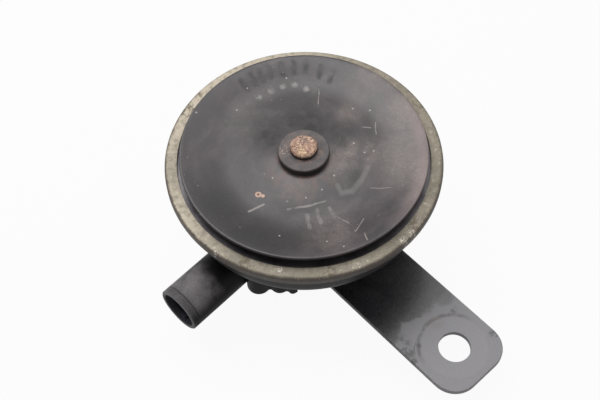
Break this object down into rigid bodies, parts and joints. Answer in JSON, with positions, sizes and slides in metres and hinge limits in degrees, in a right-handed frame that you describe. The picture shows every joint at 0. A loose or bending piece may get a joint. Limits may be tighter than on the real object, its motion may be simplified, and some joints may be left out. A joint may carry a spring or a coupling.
{
  "type": "car horn",
  "caption": "Round electromagnetic disc horn for a vehicle: dished tone disc, crimped rim, stepped steel shell, socket tube and flat strip bracket.",
  "frame": {"origin": "centre of the bracket hole on the strip's rear face", "axes": "+Z out of the strip's front face, the way the tone disc faces; +X along the strip from the horn's axis to the hole; the socket tube points close to -Y"},
  "size_m": [0.1289, 0.1039, 0.0502],
  "materials": {
    "bracket_black": "satin black paint, dusty towards the hole",
    "shell_black": "satin black paint",
    "rim_plating": "dull khaki zinc plating, stained",
    "disc_black": "worn satin black paint",
    "boss_dark": "dark phosphated steel, rust-tinged",
    "rivet_rust": "rusty steel",
    "spring_steel": "blued spring steel",
    "soft_iron": "plated soft iron",
    "copper": "enamelled copper wire",
    "bobbin_plastic": "natural moulded plastic",
    "gasket_fibre": "pressed gasket fibre",
    "insulator_brown": "phenolic laminate",
    "contact_brass": "rolled brass",
    "contact_silver": "silver contact face",
    "cover_black": "moulded black plastic",
    "seal_rubber": "soft rubber",
    "fastener_zinc": "dull zinc plating"
  },
  "bodies": {
    "horn_body": {"mounting_strip": "bracket_black", "lock_washer": "fastener_zinc", "mounting_nut": "fastener_zinc", "housing": "shell_black", "clamp_ring": "rim_plating", "lower_gasket": "gasket_fibre", "diaphragm": "spring_steel", "upper_gasket": "gasket_fibre", "magnet_core": "soft_iron", "coil_bobbin": "bobbin_plastic", "coil_winding": "copper", "yoke_plate": "soft_iron", "yoke_rivets": "fastener_zinc", "breaker_bracket": "soft_iron", "contact_insulators": "insulator_brown", "fixed_contact_arm": "contact_brass", "fixed_contact_point": "contact_silver", "contact_spring": "spring_steel", "moving_contact_point": "contact_silver", "contact_rivets": "contact_brass", "adjusting_screw": "fastener_zinc", "terminal_cover": "cover_black", "cover_seal": "seal_rubber", "cover_screws": "fastener_zinc", "upper_terminal_blade": "contact_brass", "lower_terminal_blade": "contact_brass"},
    "vibrating_group": {"tone_disc": "disc_black", "centre_washer": "boss_dark", "centre_rivet": "rivet_rust", "hub_spacer": "soft_iron", "armature": "soft_iron"}
  },
  "joints": [
    {"name": "armature_travel", "type": "slide", "parent": "horn_body", "child": "vibrating_group", "axis": [0, 0, 1], "range_m": [-0.0007, 0.0004], "stiffness_N_per_m": 50000, "deforming": ["diaphragm", "contact_spring"]}
  ]
}
